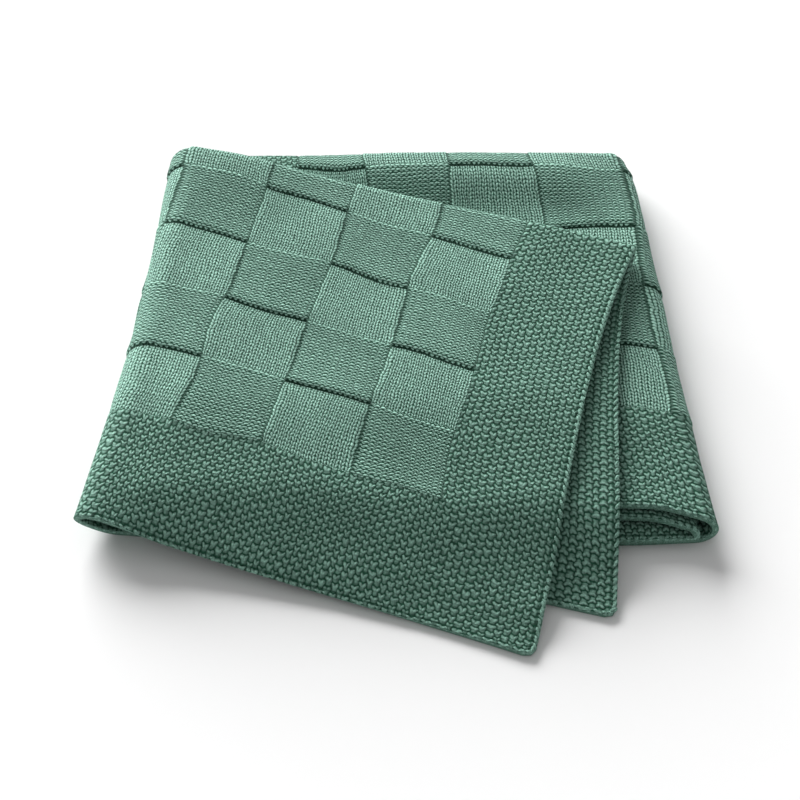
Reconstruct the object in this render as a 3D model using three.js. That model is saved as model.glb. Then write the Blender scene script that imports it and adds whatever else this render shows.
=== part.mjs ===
// Knitted baby blanket, folded in half and then in three, lying flat.
// Millimetres, +Z up. The folded blanket's front edges face -Y.
//
// The cloth is one sheet. It is first doubled, with the fold at the back, so that it has an outer
// layer and an inner layer. The doubled cloth is then folded in three like a letter: the right third
// goes over the middle, and the left third goes over both as the top flap, a little askew.

import * as THREE from "three";

// The flat blanket: a chequer of knitted squares inside a border.
const SQUARE_WIDTH = 57;
const SQUARES_ACROSS = 15;
const BORDER = 72.5;
const THICKNESS = 4;
const FLAT_WIDTH = SQUARES_ACROSS * SQUARE_WIDTH + 2 * BORDER;

// How the layers lie on each other.
const LAYER_PITCH = 7.5;
const HALF_PITCH = LAYER_PITCH / 2;
const LEFT_FOLD_RADIUS = { back: 15.5, front: 13 };
const RIGHT_FOLD_RADIUS = 8;
const TOP_FLAP_HEIGHT = { height: 31, from: 15, to: 60 };
const FRONT_SQUASH = { amount: 0.24, from: 20, to: 110 };
const RIGHT_FULLER = { amount: 0.12, from: 90, to: 160 };

// The four lines that the doubled cloth runs between, from the top flap's free edge down round the
// left fold, along the floor, round the right fold and back to the right flap's free edge.
// at: distance along the flat width at the line's back end and at its front end in each layer.
// back, outer, inner: where those three ends lie, seen from above.
// bow: how far the line's middle stands towards +X. sway: how far its back half stands towards +X
// and its front half towards -X. corner: how far its back end is pulled in.
const LINES = [
  { name: "top flap edge", at: { back: 0, outer: 0, inner: 0 }, bow: 0, sway: 0, corner: 0,
    back: [153, 93], outer: [78, -195], inner: [127.5, -167.5] },
  { name: "left fold", at: { back: 321, outer: 280, inner: 305 }, bow: 7, sway: -0.8, corner: 0,
    back: [-151.5, 186], outer: [-193.5, -109], inner: [-189.5, -104] },
  { name: "right fold", at: { back: 690, outer: 686, inner: 686 }, bow: -1.2, sway: 0.8, corner: 3,
    back: [153, 192.5], outer: [186.5, -111.5], inner: [182.5, -115.5] },
  { name: "right flap edge", bow: 0, sway: 0, corner: 0,
    at: { back: FLAT_WIDTH, outer: FLAT_WIDTH, inner: FLAT_WIDTH },
    back: [-131, 184.5], outer: [-122, -90], inner: [-122, -94] },
];
const [TOP_EDGE, LEFT_FOLD, RIGHT_FOLD, FLAP_EDGE] = LINES;
const CORNER_REACH = 0.06;

// The top flap's free edge bows in, and so does its front edge, most of all at the right.
const TOP_EDGE_BOW = 7;
const FRONT_EDGE_BOW = { left: 1, right: 3 };

// The two floor layers reach a little past the flap on them, most of all beside the right fold, and
// draw back under the left fold.
const FLOOR_STEP = { reach: 2.5, over: 60 };
const FLAP_SETBACK = { reach: 9, over: 40 };
const LEFT_LEAN = { x: 9, y: 4, height: 26, from: 60, to: 185 };

// Where the right flap shows behind the top flap, its back stands up in a crest and it dips in
// front of that. y is the middle of each, and length its half width. The crest is lower at the right.
const CREST = { height: 6.6, y: 176, length: 32 };
const DIP = { height: -3.8, y: 128, length: 46 };
const CREST_FADE = { from: -165, to: -90 };
const CREST_LESS = { by: 0.15, from: 20, to: 120 };

// The top flap is a little fuller near its back corner at the left.
const FLAP_HUMP = { height: 3.8, y: 168, length: 60, x: -106, width: 60 };

// Past the pile's front edges the top flap falls to the floor. It starts to fall sooner at the left,
// from one x to another.
const FALL_START = { left: -90, right: -101, from: -120, to: 60 };
const FALL_LENGTH = 64;
const FALL_EASE = 0.8;
const TUCK_LENGTH = 30;
const FLOOR_CLEARANCE = 0.4;

// The upper layers lie in long, low waves, which fade in over a distance past each fold.
const WAVE = { height: 0.9, lengthX: 150, lengthY: 190, phaseX: 0.8, phaseY: 0.5, fade: 60 };

// Steps of the mesh, and the small steps that slopes are measured over.
const TOP_FLAP_STEPS = 18;
const MIDDLE_STEPS = 8;
const RIGHT_FLAP_STEPS = 14;
const FOLD_STEPS = 10;
const TURN_STEPS = 7;
const DEPTH_STEPS = 15;
const DEPTH_EASE = 0.25;
const WIDTH_NUDGE = 0.5;
const DEPTH_NUDGE = 0.002;

const lerp = (a, b, k) => a + (b - a) * k;
const clamp = (x, low, high) => Math.min(high, Math.max(low, x));

function smooth(x, from, to) {
  const k = clamp((x - from) / (to - from), 0, 1);
  return k * k * (3 - 2 * k);
}

// 0 at both ends and 1 a third of the way along, or two thirds of the way along.
const earlyHump = (v) => (27 / 4) * v * (1 - v) ** 2;
const lateHump = (v) => (27 / 4) * v * v * (1 - v);

// A line's place at depth v, from 0 at the back turn to 1 at the front edge, in one layer.
function linePoint(line, v, layer) {
  const straight = lerp(line.back[0], line[layer][0], v);
  const bend = line.bow * 4 * v * (1 - v) + line.sway * Math.sin(2 * Math.PI * v);
  return {
    at: lerp(line.at.back, line.at[layer], v),
    x: straight + bend - line.corner * (1 - smooth(v, 0, CORNER_REACH)),
    y: lerp(line.back[1], line[layer][1], v),
  };
}

// How far inside a fold's outermost line the cloth is, once it has run a length along from it.
function insetFromFold(length, radius) {
  const quarter = (Math.PI / 2) * radius;
  if (length > quarter) return radius + length - quarter;
  return radius * (1 - Math.cos(length / radius));
}

// How far above or below a fold's own height the cloth is there.
function riseFromFold(length, radius) {
  return radius * Math.sin(clamp(length / radius, 0, Math.PI / 2));
}

// The left fold is fuller at the back than at the front.
const leftRadius = (v) => lerp(LEFT_FOLD_RADIUS.back, LEFT_FOLD_RADIUS.front, v);

// The height of a long hump with its middle at hump.y.
const humpHeight = (hump, y) => hump.height * (1 - smooth(Math.abs(y - hump.y), 0, hump.length));

// The middle of the doubled cloth, before the front of the top flap falls.
function pileMiddle(s, v, layer) {
  const top = linePoint(TOP_EDGE, v, layer);
  const left = linePoint(LEFT_FOLD, v, layer);
  const right = linePoint(RIGHT_FOLD, v, layer);
  const flap = linePoint(FLAP_EDGE, v, layer);
  const floor = THICKNESS / 2 + HALF_PITCH;
  const radius = leftRadius(v);

  if (s < left.at) {
    const past = left.at - s;
    const k = insetFromFold(past, radius) / insetFromFold(left.at, radius);
    const x = lerp(left.x, top.x, k) - TOP_EDGE_BOW * earlyHump(v) * k * k;
    const bow = FRONT_EDGE_BOW.right * lateHump(k) + FRONT_EDGE_BOW.left * earlyHump(k);
    const y = lerp(left.y, top.y, k) + bow * v * v;
    const hump = humpHeight(FLAP_HUMP, y) * (1 - smooth(Math.abs(x - FLAP_HUMP.x), 0, FLAP_HUMP.width));
    const level = smooth(past, TOP_FLAP_HEIGHT.from, TOP_FLAP_HEIGHT.to);
    const rise = (TOP_FLAP_HEIGHT.height - 2 * radius) * level + hump;
    return new THREE.Vector3(x, y, floor + radius + riseFromFold(past, radius) + rise);
  }

  if (s > right.at) {
    const past = s - right.at;
    const whole = insetFromFold(flap.at - right.at, RIGHT_FOLD_RADIUS);
    const k = insetFromFold(past, RIGHT_FOLD_RADIUS) / whole;
    const x = lerp(right.x, flap.x, k);
    const setback = FLAP_SETBACK.reach * smooth(past, 0, FLAP_SETBACK.over) * (1 - k) * v;
    const y = lerp(right.y, flap.y, k) + setback;
    const less = CREST_LESS.by * smooth(x, CREST_LESS.from, CREST_LESS.to);
    const raised = humpHeight(CREST, y) * (1 - less) + humpHeight(DIP, y);
    const crest = raised * smooth(x, CREST_FADE.from, CREST_FADE.to);
    const z = floor + RIGHT_FOLD_RADIUS + riseFromFold(past, RIGHT_FOLD_RADIUS);
    return new THREE.Vector3(x, y, z + crest * smooth(past, 0, WAVE.fade));
  }

  const half = (right.at - left.at) / 2;
  const fromLeft = s - left.at;
  const fromRight = right.at - s;
  const leftPart = insetFromFold(half, radius);
  const rightPart = insetFromFold(half, RIGHT_FOLD_RADIUS);
  const whole = leftPart + rightPart;
  const nearLeft = fromLeft < half;
  const inset = nearLeft
    ? insetFromFold(fromLeft, radius)
    : whole - insetFromFold(fromRight, RIGHT_FOLD_RADIUS);
  const drop = nearLeft
    ? radius - riseFromFold(fromLeft, radius)
    : RIGHT_FOLD_RADIUS - riseFromFold(fromRight, RIGHT_FOLD_RADIUS);
  const k = inset / whole;
  const fade = Math.min(smooth(fromLeft, 0, FLOOR_STEP.over), smooth(fromRight, 0, FLOOR_STEP.over));
  const y = lerp(left.y, right.y, k) - FLOOR_STEP.reach * fade * v;
  return new THREE.Vector3(lerp(left.x, right.x, k), y, floor + drop);
}

// The way out of the doubled cloth at a place, and the way to the back there.
function pileDirections(s, v, layer) {
  const before = pileMiddle(s - WIDTH_NUDGE, v, layer);
  const alongWidth = pileMiddle(s + WIDTH_NUDGE, v, layer).sub(before);
  const behind = pileMiddle(s, v - DEPTH_NUDGE, layer);
  const toFront = pileMiddle(s, v + DEPTH_NUDGE, layer).sub(behind);
  return {
    out: alongWidth.cross(toFront).normalize(),
    back: toFront.negate().normalize(),
  };
}

// The y of the inner layer's front edge under the top flap, at a given x.
function tuckedEdge(x) {
  const [leftX, leftY] = LEFT_FOLD.inner;
  const [rightX, rightY] = TOP_EDGE.inner;
  return lerp(leftY, rightY, (x - leftX) / (rightX - leftX));
}

// The middle of the cloth itself. angle is 0 in the outer layer, pi in the inner one.
function clothMiddle(s, v, angle) {
  const layer = angle > Math.PI / 2 ? "inner" : "outer";
  const { out, back } = pileDirections(s, v, layer);
  const point = pileMiddle(s, v, layer);
  point.addScaledVector(out, HALF_PITCH * Math.cos(angle));
  point.addScaledVector(back, HALF_PITCH * Math.sin(angle));

  // The pile is pressed together towards the front, less so at the right.
  const fuller = RIGHT_FULLER.amount * smooth(point.x, RIGHT_FULLER.from, RIGHT_FULLER.to);
  const press = smooth(-point.y, FRONT_SQUASH.from, FRONT_SQUASH.to);
  point.z = lerp(point.z, THICKNESS / 2, (FRONT_SQUASH.amount - fuller) * press);

  // The lower layers draw back under the left fold there.
  const low = 1 - smooth(point.z, 0, LEFT_LEAN.height);
  const lean = low * press * smooth(-point.x, LEFT_LEAN.from, LEFT_LEAN.to);
  point.x += LEFT_LEAN.x * lean;
  point.y += LEFT_LEAN.y * lean;

  // The long waves and the top flap's fall, fading in past each fold.
  const pastLeft = linePoint(LEFT_FOLD, v, layer).at - s;
  const pastRight = s - linePoint(RIGHT_FOLD, v, layer).at;
  const upper = Math.max(smooth(pastLeft, 0, WAVE.fade), smooth(pastRight, 0, WAVE.fade));
  const waveX = Math.sin((2 * Math.PI * point.x) / WAVE.lengthX + WAVE.phaseX);
  const waveY = Math.cos((2 * Math.PI * point.y) / WAVE.lengthY - WAVE.phaseY);
  point.z += WAVE.height * waveX * waveY * upper;

  if (pastLeft > 0) {
    const across = smooth(point.x, FALL_START.from, FALL_START.to);
    const start = lerp(FALL_START.left, FALL_START.right, across);
    const along = clamp((start - point.y) / FALL_LENGTH, 0, 1);
    const fall = smooth(along ** FALL_EASE, 0, 1) * smooth(pastLeft, 0, WAVE.fade);
    const beyondTuck = smooth(tuckedEdge(point.x) - point.y, 0, TUCK_LENGTH);
    const underneath = layer === "outer" ? LAYER_PITCH * (1 - beyondTuck) : 0;
    point.z = lerp(point.z, THICKNESS / 2 + FLOOR_CLEARANCE + underneath, fall);
  }
  return point;
}

// Even steps between two numbers, the first left out.
function steps(from, to, count) {
  return Array.from({ length: count }, (_, i) => lerp(from, to, (i + 1) / count));
}

// Where the mesh has its lines across the flat width, at one depth: close together round the folds.
function widthStations(v, layer) {
  const left = linePoint(LEFT_FOLD, v, layer).at;
  const right = linePoint(RIGHT_FOLD, v, layer).at;
  const leftQuarter = (Math.PI / 2) * leftRadius(v);
  const rightQuarter = (Math.PI / 2) * RIGHT_FOLD_RADIUS;
  return [
    0,
    ...steps(0, left - leftQuarter, TOP_FLAP_STEPS),
    ...steps(left - leftQuarter, left + leftQuarter, FOLD_STEPS),
    ...steps(left + leftQuarter, right - rightQuarter, MIDDLE_STEPS),
    ...steps(right - rightQuarter, right + rightQuarter, FOLD_STEPS),
    ...steps(right + rightQuarter, FLAT_WIDTH, RIGHT_FLAP_STEPS),
  ];
}

// Where it has its lines from the outer front edge, round the back turn, to the inner front edge.
function depthStations() {
  const depths = [0, ...steps(0, 1, DEPTH_STEPS)].map((k) => lerp(k, 1 - (1 - k) ** 2, DEPTH_EASE));
  const outer = depths.map((v) => ({ v, angle: 0 })).reverse();
  const turn = steps(0, Math.PI, TURN_STEPS).slice(0, -1).map((angle) => ({ v: 0, angle }));
  const inner = depths.map((v) => ({ v, angle: Math.PI }));
  return [...outer, ...turn, ...inner];
}

// The cloth's middle as a grid of points, one row for each depth station.
function clothGrid() {
  return depthStations().map(({ v, angle }) => {
    const layer = angle > Math.PI / 2 ? "inner" : "outer";
    return widthStations(v, layer).map((s) => clothMiddle(s, v, angle));
  });
}

// The cloth's own normal at a grid point, towards its outer side.
function gridNormal(grid, j, i) {
  const rowEnd = grid[j].length - 1;
  const across = grid[j][Math.min(i + 1, rowEnd)].clone().sub(grid[j][Math.max(i - 1, 0)]);
  const along = grid[Math.min(j + 1, grid.length - 1)][i].clone().sub(grid[Math.max(j - 1, 0)][i]);
  return along.cross(across).normalize();
}

// The sheet as one closed body: its outer side, its inner side and the rim between them.
function sheetGeometry() {
  const grid = clothGrid();
  const rows = grid.length;
  const columns = grid[0].length;
  const positions = [];
  for (const side of [1, -1]) {
    grid.forEach((row, j) => row.forEach((point, i) => {
      const shifted = point.clone().addScaledVector(gridNormal(grid, j, i), (side * THICKNESS) / 2);
      positions.push(shifted.x, shifted.y, shifted.z);
    }));
  }

  const outerSide = (j, i) => j * columns + i;
  const innerSide = (j, i) => rows * columns + j * columns + i;
  const faces = [];
  const quad = (a, b, c, d) => faces.push(a, b, c, a, c, d);
  for (let j = 0; j < rows - 1; j += 1) {
    for (let i = 0; i < columns - 1; i += 1) {
      quad(outerSide(j, i), outerSide(j + 1, i), outerSide(j + 1, i + 1), outerSide(j, i + 1));
      quad(innerSide(j, i), innerSide(j, i + 1), innerSide(j + 1, i + 1), innerSide(j + 1, i));
    }
  }
  for (let j = 0; j < rows - 1; j += 1) {
    const last = columns - 1;
    quad(outerSide(j, 0), innerSide(j, 0), innerSide(j + 1, 0), outerSide(j + 1, 0));
    quad(outerSide(j + 1, last), innerSide(j + 1, last), innerSide(j, last), outerSide(j, last));
  }
  for (let i = 0; i < columns - 1; i += 1) {
    const last = rows - 1;
    quad(outerSide(0, i + 1), innerSide(0, i + 1), innerSide(0, i), outerSide(0, i));
    quad(outerSide(last, i), innerSide(last, i), innerSide(last, i + 1), outerSide(last, i + 1));
  }

  const geometry = new THREE.BufferGeometry();
  geometry.setAttribute("position", new THREE.Float32BufferAttribute(positions, 3));
  geometry.setIndex(faces);
  return geometry;
}

// The blanket, with its origin under the middle of the pile.
function blanketMesh() {
  const geometry = sheetGeometry();
  geometry.computeBoundingBox();
  const centre = geometry.boundingBox.getCenter(new THREE.Vector3());
  geometry.translate(-centre.x, -centre.y, 0);
  geometry.computeVertexNormals();
  const yarn = new THREE.MeshStandardMaterial({ color: 0x6a9c86, roughness: 0.92, metalness: 0 });
  const mesh = new THREE.Mesh(geometry, yarn);
  mesh.name = "blanket";
  return mesh;
}

const group = new THREE.Group();
group.add(blanketMesh());

export default group;
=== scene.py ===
"""Knitted baby blanket, folded in half and then in three, lying flat.

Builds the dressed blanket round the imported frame: the knitted sheet, the stitches along its edges,
and a plain studio. Metres, +Z up, in the frame's own axes.
"""

import math

import bmesh
import bpy
from bpy.props import (
    FloatProperty,
    FloatVectorProperty,
    IntProperty,
    PointerProperty,
)
from mathutils import Matrix, Vector, noise


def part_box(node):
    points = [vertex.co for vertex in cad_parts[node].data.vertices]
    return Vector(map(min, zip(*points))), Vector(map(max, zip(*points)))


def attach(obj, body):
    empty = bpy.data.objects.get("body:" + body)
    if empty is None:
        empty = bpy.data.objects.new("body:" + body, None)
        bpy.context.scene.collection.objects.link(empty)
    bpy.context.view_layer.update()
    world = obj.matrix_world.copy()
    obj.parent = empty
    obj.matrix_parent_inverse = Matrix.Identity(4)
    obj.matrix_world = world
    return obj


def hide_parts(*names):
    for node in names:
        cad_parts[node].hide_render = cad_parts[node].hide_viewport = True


bl_info = {
    "name": "Folded Knitted Blanket",
    "version": (1, 0, 0),
    "blender": (4, 5, 0),
    "location": "3D Viewport > Sidebar > Blanket",
    "description": "A folded knitted blanket with a chequer of squares inside a seed-stitch border",
    "category": "Add Mesh",
}

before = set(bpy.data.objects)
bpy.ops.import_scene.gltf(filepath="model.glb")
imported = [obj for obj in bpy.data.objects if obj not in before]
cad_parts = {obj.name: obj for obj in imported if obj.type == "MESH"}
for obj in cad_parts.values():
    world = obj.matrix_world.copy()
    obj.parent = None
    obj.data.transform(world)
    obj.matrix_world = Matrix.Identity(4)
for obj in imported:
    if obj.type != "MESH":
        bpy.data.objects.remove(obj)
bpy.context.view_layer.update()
CAD_NODE = "blanket"
SHEET_NAME = "blanket_sheet"
SHIFT_KEY = "blanket_shift"
UV_NAME = "Flat cloth"
MM = 0.001

# How far soft knitting stretches unevenly, over what length, and how that fades in from the edges.
STRETCH = 3.5 * MM
STRETCH_LENGTH = 42 * MM
STRETCH_FADE = 40 * MM

# The small unevenness of the cloth: the length of the broad bumps and of the fine ones, with the
# share of the ripple height that each has.
RIPPLE_BROAD, BROAD_SHARE = 45 * MM, 0.8
RIPPLE_FINE, FINE_SHARE = 13 * MM, 0.25

# Where the sheet's mesh has its lines: the longest step, how far to each side of a square's edge
# its two nearest lines stand, and the share of a step that is taken for a rounding error.
LONGEST_STEP = 6.5 * MM
EDGE_HALF = 0.7 * MM
EDGE_FADE = 3.2 * MM
STEP_ROUNDING = 1e-6

# The parts of the flat width and length that fold, with the longest step there. The turn's ends
# are counted from the middle of the length.
LEFT_FOLD_ZONE = (255 * MM, 345 * MM, 2.6 * MM)
RIGHT_FOLD_ZONE = (670 * MM, 706 * MM, 1.8 * MM)
TURN_BEFORE, TURN_AFTER, TURN_STEP = 16 * MM, 28 * MM, 1.5 * MM

# Over what length a square's raised or sunken edges fade towards its middle, from its sides and
# from its ends. The far end stands out less than the near one.
RELIEF_FADE_SIDE = 3.5 * MM
RELIEF_FADE_END = 4.5 * MM
RELIEF_FAR_SHARE = 0.5

# The stitches along the side edges and the end edges: the slant between stitch and edge, how far
# inside the edge the middle is, the half length as a share of the spacing, and the half sizes
# across the stitch and through the cloth.
SIDE_STITCH = (math.radians(27), 1.5 * MM, 0.62, 1.4 * MM, 1.7 * MM)
END_STITCH = (math.radians(24), 1.1 * MM, 0.5, 1.25 * MM, 1.6 * MM)
STITCH_SEGMENTS, STITCH_RINGS = 8, 5

# The painted shade of the grooves just inside the edge stitches: its distance from the side and end
# edges.
SIDE_GROOVE_SHADE = 3.7 * MM
END_GROOVE_SHADE = 2.6 * MM

# The studio.
FLOOR_HALF_SIZE = 6
TOP_SPREAD = math.radians(120)
SENSOR_WIDTH = 36

# The four lines that the doubled cloth runs between, from the top flap's free edge down round the
# left fold, along the floor, round the right fold and back to the right flap's free edge.
# at: distance along the flat width at the line's back end and at its front end in each layer.
# back, outer, inner: where those three ends lie, seen from above, with the floor point under the
# middle of the view as the origin.
# bow: how far the line's middle stands towards +X. sway: how far its back half stands towards +X
# and its front half towards -X. corner: how far its back end is pulled in.
# Millimetres. WHOLE is the whole flat width.
WHOLE = 1000
FOLD_LINES = {
    "top_edge": {
        "at": {"back": 0, "outer": 0, "inner": 0}, "bow": 0, "sway": 0, "corner": 0,
        "back": (153, 93), "outer": (78, -195), "inner": (127.5, -167.5),
    },
    "left_fold": {
        "at": {"back": 321, "outer": 280, "inner": 305}, "bow": 7, "sway": -0.8, "corner": 0,
        "back": (-151.5, 186), "outer": (-193.5, -109), "inner": (-189.5, -104),
    },
    "right_fold": {
        "at": {"back": 690, "outer": 686, "inner": 686}, "bow": -1.2, "sway": 0.8, "corner": 3,
        "back": (153, 192.5), "outer": (186.5, -111.5), "inner": (182.5, -115.5),
    },
    "flap_edge": {
        "at": {"back": WHOLE, "outer": WHOLE, "inner": WHOLE}, "bow": 0, "sway": 0, "corner": 0,
        "back": (-131, 184.5), "outer": (-122, -90), "inner": (-122, -94),
    },
}


class BlanketCloth(bpy.types.PropertyGroup):
    """The flat blanket."""

    square_width: FloatProperty(
        name="Square width", description="Width of one knitted square",
        default=57 * MM, unit="LENGTH")
    square_length: FloatProperty(
        name="Square length", description="Length of one knitted square",
        default=50 * MM, unit="LENGTH")
    squares_across: IntProperty(
        name="Squares across", description="Squares along the blanket's width", default=15)
    squares_along: IntProperty(
        name="Squares along", description="Squares along the blanket's length", default=9)
    border: FloatProperty(
        name="Border", description="Width of the seed-stitch border",
        default=72.5 * MM, unit="LENGTH")
    thickness: FloatProperty(
        name="Thickness", description="Thickness of the cloth",
        default=4 * MM, unit="LENGTH")
    corner_radius: FloatProperty(
        name="Corner radius", description="How far the corners are rounded",
        default=7 * MM, unit="LENGTH")
    stitches: IntProperty(
        name="Stitches", description="Stitches across one square", default=16)
    rows: IntProperty(name="Rows", description="Rows of stitches along one square", default=20)
    seed_width: FloatProperty(
        name="Seed stitch width", description="Width of one stitch of the side border",
        default=4.5 * MM, unit="LENGTH")
    seed_width_between: FloatProperty(
        name="Seed stitch width between",
        description="Width of one stitch of the end borders, between the side borders",
        default=3.9 * MM, unit="LENGTH")
    selvedge_stitch: FloatProperty(
        name="Selvedge stitch", description="Length of one stitch of the side edges",
        default=5.2 * MM, unit="LENGTH")
    seed_row: FloatProperty(
        name="Seed stitch row", description="Height of one row of the border",
        default=2.5 * MM, unit="LENGTH")
    knit_proud: FloatProperty(
        name="Knit edge", description="How far knit stands proud beside purl",
        default=0.55 * MM, unit="LENGTH")
    purl_proud: FloatProperty(
        name="Purl edge", description="How far purl stands proud above and below knit",
        default=0.95 * MM, unit="LENGTH")

    @property
    def width(self):
        return self.squares_across * self.square_width + 2 * self.border

    @property
    def length(self):
        return self.squares_along * self.square_length + 2 * self.border


class BlanketFolds(bpy.types.PropertyGroup):
    """How the layers lie on each other."""

    layer_pitch: FloatProperty(
        name="Layer pitch", description="Distance between the middles of two layers",
        default=7.5 * MM, unit="LENGTH")
    left_radius_back: FloatProperty(
        name="Left fold radius, back",
        description="Radius of the doubled cloth at the back of the left fold",
        default=15.5 * MM, unit="LENGTH")
    left_radius_front: FloatProperty(
        name="Left fold radius, front",
        description="Radius of the doubled cloth at the front of the left fold",
        default=13 * MM, unit="LENGTH")
    right_radius: FloatProperty(
        name="Right fold radius", description="Radius of the doubled cloth in the right fold",
        default=8 * MM, unit="LENGTH")
    flap_height: FloatProperty(
        name="Top flap height", description="How far the top flap lies above the floor layers",
        default=31 * MM, unit="LENGTH")
    fall_start: FloatProperty(
        name="Fall start", description="Where the top flap starts to fall to the floor",
        default=-101 * MM, unit="LENGTH")
    fall_length: FloatProperty(
        name="Fall length", description="Length over which it falls",
        default=64 * MM, unit="LENGTH")
    wave_height: FloatProperty(
        name="Wave height", description="Height of the long waves in the upper layers",
        default=0.9 * MM, unit="LENGTH")
    ripple_height: FloatProperty(
        name="Ripple height", description="Height of the small unevenness of the cloth",
        default=0.7 * MM, unit="LENGTH")


class BlanketYarn(bpy.types.PropertyGroup):
    """The yarn's colours and finish."""

    light: FloatVectorProperty(
        name="Raised yarn", description="Colour on top of the stitches",
        subtype="COLOR", size=3, default=(0.308, 0.520, 0.432), min=0, max=1)
    # Painted shade: a colour far darker than the yarn, for the shade down between the stitches.
    deep_shade: FloatVectorProperty(
        name="Painted deep shade", description="Painted shade down between the stitches",
        subtype="COLOR", size=3, default=(0.015, 0.068, 0.040), min=0, max=1)
    knit_depth: FloatProperty(
        name="Knit depth", description="Depth of the knit stitches",
        default=0.7 * MM, unit="LENGTH")
    purl_depth: FloatProperty(
        name="Purl depth", description="Depth of the purl stitches",
        default=0.8 * MM, unit="LENGTH")
    seed_depth: FloatProperty(
        name="Seed depth", description="Depth of the seed stitches",
        default=1.3 * MM, unit="LENGTH")


class BlanketStudio(bpy.types.PropertyGroup):
    """The view and the light."""

    pitch: FloatProperty(
        name="Pitch", description="How far the camera looks down",
        default=math.radians(51), subtype="ANGLE")
    distance: FloatProperty(
        name="Distance", description="From the camera to the floor under the middle of the view",
        default=1405 * MM, unit="LENGTH")
    lens: FloatProperty(
        name="Lens", description="Focal length on a 36 mm sensor, in millimetres", default=99)
    key_strength: FloatProperty(
        name="Key light", description="Strength of the soft light from the back left", default=7.9)
    key_azimuth: FloatProperty(
        name="Key direction", description="How far to the left of straight behind it stands",
        default=math.radians(27), subtype="ANGLE")
    key_elevation: FloatProperty(
        name="Key elevation", description="How high the key light stands",
        default=math.radians(18), subtype="ANGLE")
    key_spread: FloatProperty(
        name="Key softness", description="How wide the key light looks from the floor",
        default=math.radians(48), subtype="ANGLE")
    top_strength: FloatProperty(
        name="Top light", description="Strength of the soft light from above", default=0.76)
    ambient: FloatProperty(
        name="Ambient light", description="Brightness of the light from all round", default=0.11)
    horizon: FloatProperty(
        name="Horizon", description="How far above the horizon the studio is as pale as the floor",
        default=math.radians(5), subtype="ANGLE")
    floor_colour: FloatVectorProperty(
        name="Floor", description="Colour of the floor",
        subtype="COLOR", size=3, default=(0.9, 0.9, 0.9), min=0, max=1)


def lerp(a, b, k):
    """A value that goes from a to b as k goes from 0 to 1."""
    return a + (b - a) * k


def clamp(x, low, high):
    return min(high, max(low, x))


def smooth(x, start, end):
    """0 before start and 1 past end, smooth between."""
    k = clamp((x - start) / (end - start), 0, 1)
    return k * k * (3 - 2 * k)


def early_hump(v):
    """0 at both ends and 1 a third of the way along."""
    return 27 / 4 * v * (1 - v) ** 2


def late_hump(v):
    """0 at both ends and 1 two thirds of the way along."""
    return 27 / 4 * v * v * (1 - v)


def hump_height(hump, y):
    """The height of a long hump at a y. hump: its height, the y of its middle, its half width."""
    height, middle, half_width = hump
    return height * (1 - smooth(abs(y - middle), 0, half_width))


def inset_from_fold(length, radius):
    """How far inside a fold's outermost line the cloth is, once it has run a length from it."""
    quarter_turn = math.pi / 2 * radius
    if length > quarter_turn:
        return radius + length - quarter_turn
    return radius * (1 - math.cos(length / radius))


def rise_from_fold(length, radius):
    """How far above or below a fold's own height the cloth is there."""
    return radius * math.sin(clamp(length / radius, 0, math.pi / 2))


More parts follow.
